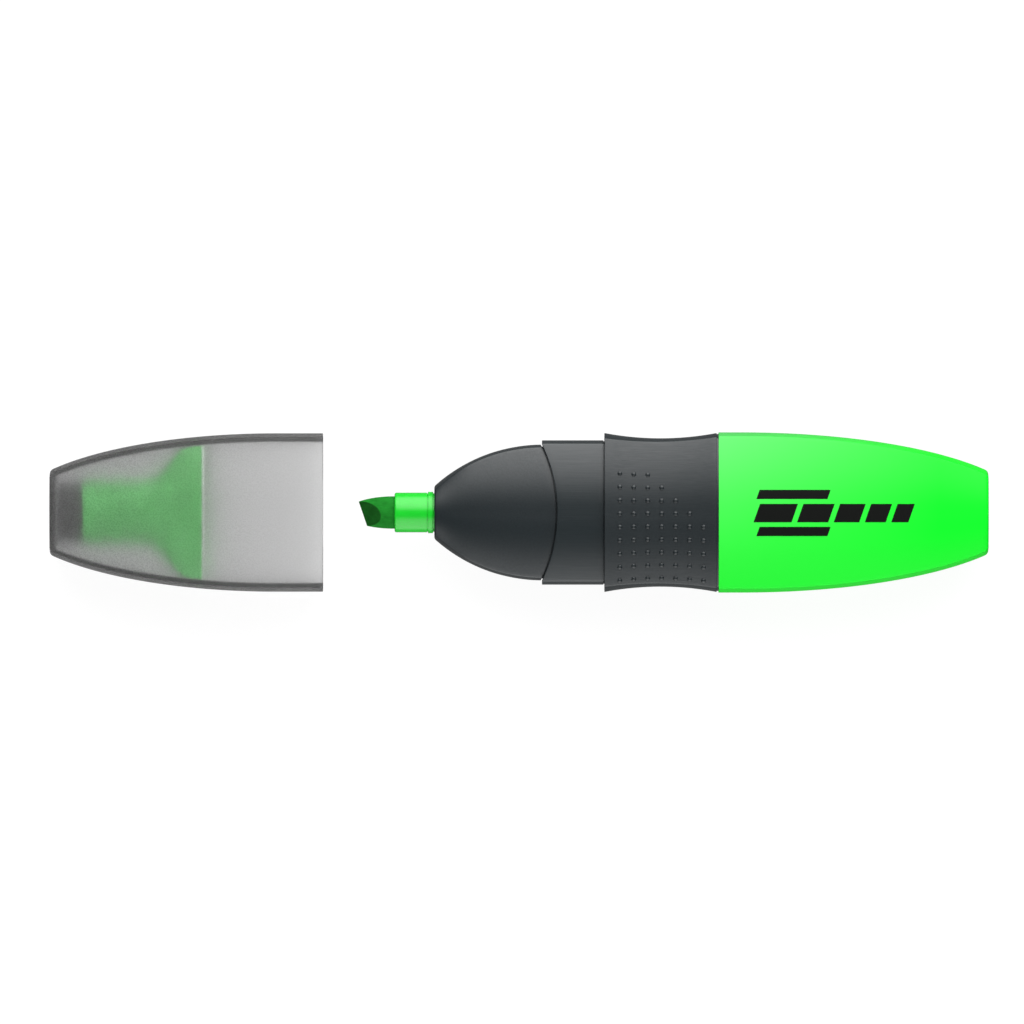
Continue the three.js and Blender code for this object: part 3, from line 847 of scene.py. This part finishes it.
def grip_sleeve():
    outside = rounded([
        (GRIP_FRONT, GRIP_FACE_INSET, 0),
        (GRIP_FRONT, 0, 0.12),
        (GRIP_REAR, 0, 0.1),
        (GRIP_REAR, GRIP_FACE_INSET, 0),
    ])
    rings = [grip_ring(x, inset) for x, inset in spaced(outside)]
    for x in (GRIP_REAR, GRIP_FRONT):
        rings.append(ring(x, body_quarter(GRIP_HALF_WIDTH, HALF_THICK, GRIP_DEPTH)))
    return loft("grip", rings, is_tube=True)


DOT_RADIUS = 0.4
DOT_HEIGHT = 0.23
DOT_SINK = 0.12  # how far a dot reaches into the grip
DOT_FIRST = 2.5  # from the grip's front to the first column
DOT_PITCH = 2.28
DOT_TOP_ROW = 0.507  # rows are placed by share of the grip's half-width
DOT_ROW_PITCH = 0.1739
DOTS_IN_ROW = (3, 4, 5, 6, 7, 7, 7, 7, 7)
DOT_RINGS = 5
DOT_SEGMENTS = 16


def add_dome(points, faces, centre, up):
    """Adds one low dome to a mesh in the making, closed by a face sunk below the surface."""
    across = Vector((1, 0, 0))
    beside = up.cross(across)
    first = len(points)
    levels = [(DOT_RADIUS, -DOT_SINK)]
    for angle in evenly(0, math.pi / 2, DOT_RINGS)[:-1]:
        levels.append((DOT_RADIUS * math.cos(angle), DOT_HEIGHT * math.sin(angle)))
    for radius, height in levels:
        for a in evenly(0, math.tau, DOT_SEGMENTS)[:-1]:
            points.append(centre + radius * (across * math.cos(a) + beside * math.sin(a)) + up * height)
    points.append(centre + up * DOT_HEIGHT)
    for level in range(len(levels) - 1):
        here = first + level * DOT_SEGMENTS
        for i in range(DOT_SEGMENTS):
            j = (i + 1) % DOT_SEGMENTS
            faces.append((here + i, here + j, here + DOT_SEGMENTS + j, here + DOT_SEGMENTS + i))
    last = first + (len(levels) - 1) * DOT_SEGMENTS
    for i in range(DOT_SEGMENTS):
        faces.append((last + i, last + (i + 1) % DOT_SEGMENTS, len(points) - 1))
    faces.append(tuple(range(first, first + DOT_SEGMENTS)))


def grip_dots():
    """Rows of raised dots on both broad faces, left-aligned, with fewer in the upper rows."""
    points, faces = [], []
    for row, count in enumerate(DOTS_IN_ROW):
        for column in range(count):
            x = GRIP_FRONT + DOT_FIRST + DOT_PITCH * column
            half_width, half_thick, bulge = grip_size(x)
            y = half_width * (DOT_TOP_ROW - DOT_ROW_PITCH * row)
            height = crown_height(y, half_width, half_thick, bulge)
            beyond = crown_height(y + MM, half_width, half_thick, bulge)
            for side in (1, -1):
                up = Vector((0, (height - beyond) / MM, side)).normalized()
                add_dome(points, faces, Vector((x, y, side * height)), up)
    return smooth_mesh("grip_dots", points, faces)


# -----------------------------------------------------------------------------------------------------------
# Barrel and its print
# -----------------------------------------------------------------------------------------------------------

PRINT_RISE = 0.02
PRINT_SINK = 0.06
PRINT_STEP = 0.5
PRINT_LEAN = 0.35  # how far a bar's ends slant, per millimetre of its height
BAR_START = 39.0
BAR_LENGTH = 11.6
BAR_HEIGHT = 1.5
BAR_MIDDLES = (2.95, -3.1)
BLOCK_START = 38.8
BLOCK_LENGTH = 6.2  # of the first block
BLOCK_SHRINK = 0.82  # a block's length over that of the one before it
BLOCK_GAP = 0.9
BLOCK_HEIGHT = 3.0
BLOCK_MIDDLE = -0.1
BLOCKS_LIMIT = 64.5  # no block reaches past here


def barrel_size(x):
    from_front = x - BARREL_FRONT
    half_width = elliptic_taper(from_front, BARREL_TAPER_START, BARREL_TAPER_REACH, BARREL_HALF_WIDTH)
    half_thick = elliptic_taper(from_front, BARREL_THIN_START, BARREL_TAPER_REACH, HALF_THICK)
    return half_width, half_thick


def barrel_ring(x, inset):
    half_width, half_thick = barrel_size(x)
    return ring(x, body_quarter(half_width, half_thick, inset))


def barrel():
    inner_end = BARREL_END - BARREL_END_WALL
    profile = rounded([
        (inner_end, BARREL_WALL + 1.0, 0),
        (inner_end, BARREL_WALL, 0.5),
        (BARREL_FRONT, BARREL_WALL, 0.1),
        (BARREL_FRONT, 0, 0.1),
        (BARREL_END, 0, END_ROUND),
        (BARREL_END, END_FACE_INSET, 0),
    ])
    return loft("barrel_body", [barrel_ring(x, inset) for x, inset in spaced(profile)])


def add_bar(points, faces, start, length, middle, height):
    """Adds one bar of ink with slanted ends, lying on the barrel's upper broad face."""
    columns = math.ceil(length / PRINT_STEP)
    rows = math.ceil(height / PRINT_STEP)
    first = len(points)
    for level in (PRINT_RISE, -PRINT_SINK):
        for row in range(rows + 1):
            y = middle + height * (row / rows - 0.5)
            for column in range(columns + 1):
                x = start + length * column / columns + PRINT_LEAN * (y - middle)
                half_width, half_thick = barrel_size(x)
                points.append(Vector((x, y, crown_height(y, half_width, half_thick) + level)))
    width = columns + 1
    below = width * (rows + 1)
    for row in range(rows):
        for column in range(columns):
            a = first + row * width + column
            top = (a, a + 1, a + width + 1, a + width)
            faces.append(top)
            faces.append(tuple(corner + below for corner in reversed(top)))
    rim = [first + column for column in range(width)]
    rim += [first + row * width + columns for row in range(1, rows + 1)]
    rim += [first + rows * width + column for column in reversed(range(columns))]
    rim += [first + row * width for row in reversed(range(1, rows))]
    for here, beyond in zip(rim, rim[1:] + rim[:1]):
        faces.append((beyond, here, here + below, beyond + below))


def barrel_print():
    """A plain motif: a row of leaning blocks that get shorter, between two thin bars."""
    points, faces = [], []
    for middle in BAR_MIDDLES:
        add_bar(points, faces, BAR_START, BAR_LENGTH, middle, BAR_HEIGHT)
    start = BLOCK_START
    length = BLOCK_LENGTH
    while start + length < BLOCKS_LIMIT:
        add_bar(points, faces, start, length, BLOCK_MIDDLE, BLOCK_HEIGHT)
        start += length + BLOCK_GAP
        length *= BLOCK_SHRINK
    return smooth_mesh("barrel_motif", points, faces)


# -----------------------------------------------------------------------------------------------------------
# Assembly
# -----------------------------------------------------------------------------------------------------------


def add_pieces():
    add_piece(cap_shell(), "cap", "cap_shell", "cap_frosted_smoke", frosted_smoke())
    add_piece(inner_cap(), "cap", "inner_cap", "liner_green", liner_green())
    add_piece(nib(), "pen", "nib", "nib_felt", side_felt(), cut_felt())
    add_piece(nib_holder(), "pen", "nib_holder", "holder_green", holder_green())
    add_piece(nose_cone(), "pen", "nose_cone", "nose_dark", nose_charcoal())
    add_piece(neck_collar(), "pen", "neck_collar", "collar_dark", collar_charcoal())
    grip = grip_charcoal()
    add_piece(grip_sleeve(), "pen", "grip_sleeve", "grip_dark", grip)
    add_piece(grip_dots(), "pen", None, "grip_dark", grip)
    add_piece(barrel(), "pen", "barrel", "barrel_green", barrel_green())
    add_piece(barrel_print(), "pen", None, "barrel_green", print_ink())
    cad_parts["reservoir_film"].data.materials[0] = clear_film()
    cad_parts["ink_reservoir"].data.materials[0] = ink_fibre()


# -----------------------------------------------------------------------------------------------------------
# Floor, light and camera
# -----------------------------------------------------------------------------------------------------------

FLOOR_HALF_SIZE = 3.0
FLOOR_GLOW = 0.92
FLOOR_SHADE = 0.1
SURROUND = 0.1

# Lobes of light in the studio: where each comes from, the angle it fades out at, and its strength
KEY_AXIS = (0.1, 0.85, 0.5)
KEY_REACH = 55
KEY_STRENGTH = 5.4
FILL_AXIS = (0.0, -1.0, 0.3)
FILL_REACH = 55
FILL_STRENGTH = 3.3
BOUNCE_AXIS = (0.0, 0.0, -1.0)
BOUNCE_REACH = 100
BOUNCE_STRENGTH = 0.14

VIEW_WIDTH = 0.1674  # of what the picture shows at the pen, in metres
VIEW_CENTRE = Vector((-0.00115, 0.00008, HALF_THICK * MM))
LENS = 1000.0  # long enough to see the pen almost without perspective


def add_floor():
    """A pale floor that glows, and that the pen neither mirrors nor is lit by."""
    mesh = bpy.data.meshes.new("floor")
    half = FLOOR_HALF_SIZE
    corners = [(-half, -half, 0), (half, -half, 0), (half, half, 0), (-half, half, 0)]
    mesh.from_pydata(corners, [], [(0, 1, 2, 3)])
    floor = bpy.data.objects.new("floor", mesh)
    bpy.context.scene.collection.objects.link(floor)
    material, shader = new_material("floor_white", 0.9, Specular_IOR_Level=0.0)
    shader.inputs["Base Color"].default_value = grey(FLOOR_SHADE)
    shader.inputs["Emission Color"].default_value = grey(1)
    shader.inputs["Emission Strength"].default_value = FLOOR_GLOW
    mesh.materials.append(material)
    floor.visible_glossy = False
    floor.visible_diffuse = False


def add_lobe(world, direction, axis, reach, strength):
    """Light that is full along an axis and fades out at the given angle from it."""
    aim = Vector(axis).normalized()
    alike = add_node(world, "ShaderNodeVectorMath", {0: direction, 1: aim}, operation="DOT_PRODUCT")
    inputs = {
        "Value": alike.outputs["Value"],
        "From Min": math.cos(math.radians(reach)),
        "From Max": 1.0,
        "To Max": strength,
    }
    fade = add_node(world, "ShaderNodeMapRange", inputs, interpolation_type="SMOOTHSTEP")
    return fade.outputs["Result"]


def add_sky():
    """A plain studio: a dim surround, a broad key light, a weaker fill opposite and a glow from below."""
    world = bpy.data.worlds.new("studio")
    bpy.context.scene.world = world
    world.use_nodes = True
    direction = add_node(world, "ShaderNodeTexCoord", {}).outputs["Generated"]
    lobes = [
        (KEY_AXIS, KEY_REACH, KEY_STRENGTH),
        (FILL_AXIS, FILL_REACH, FILL_STRENGTH),
        (BOUNCE_AXIS, BOUNCE_REACH, BOUNCE_STRENGTH),
    ]
    total = SURROUND
    for axis, reach, strength in lobes:
        total = maths(world, "ADD", add_lobe(world, direction, axis, reach, strength), total)
    background = world.node_tree.nodes["Background"]
    background.inputs["Color"].default_value = grey(1)
    feed(world, background, "Strength", total)


def add_camera():
    camera = bpy.data.cameras.new("camera")
    camera.lens = LENS
    camera.clip_start = 0.01
    camera.clip_end = 10
    distance = VIEW_WIDTH * LENS / camera.sensor_width
    holder = bpy.data.objects.new("camera", camera)
    holder.location = VIEW_CENTRE + Vector((0, 0, distance))
    bpy.context.scene.collection.objects.link(holder)
    bpy.context.scene.camera = holder


add_camera()
add_floor()
add_sky()
bpy.context.scene.view_settings.view_transform = "Standard"
add_pieces()
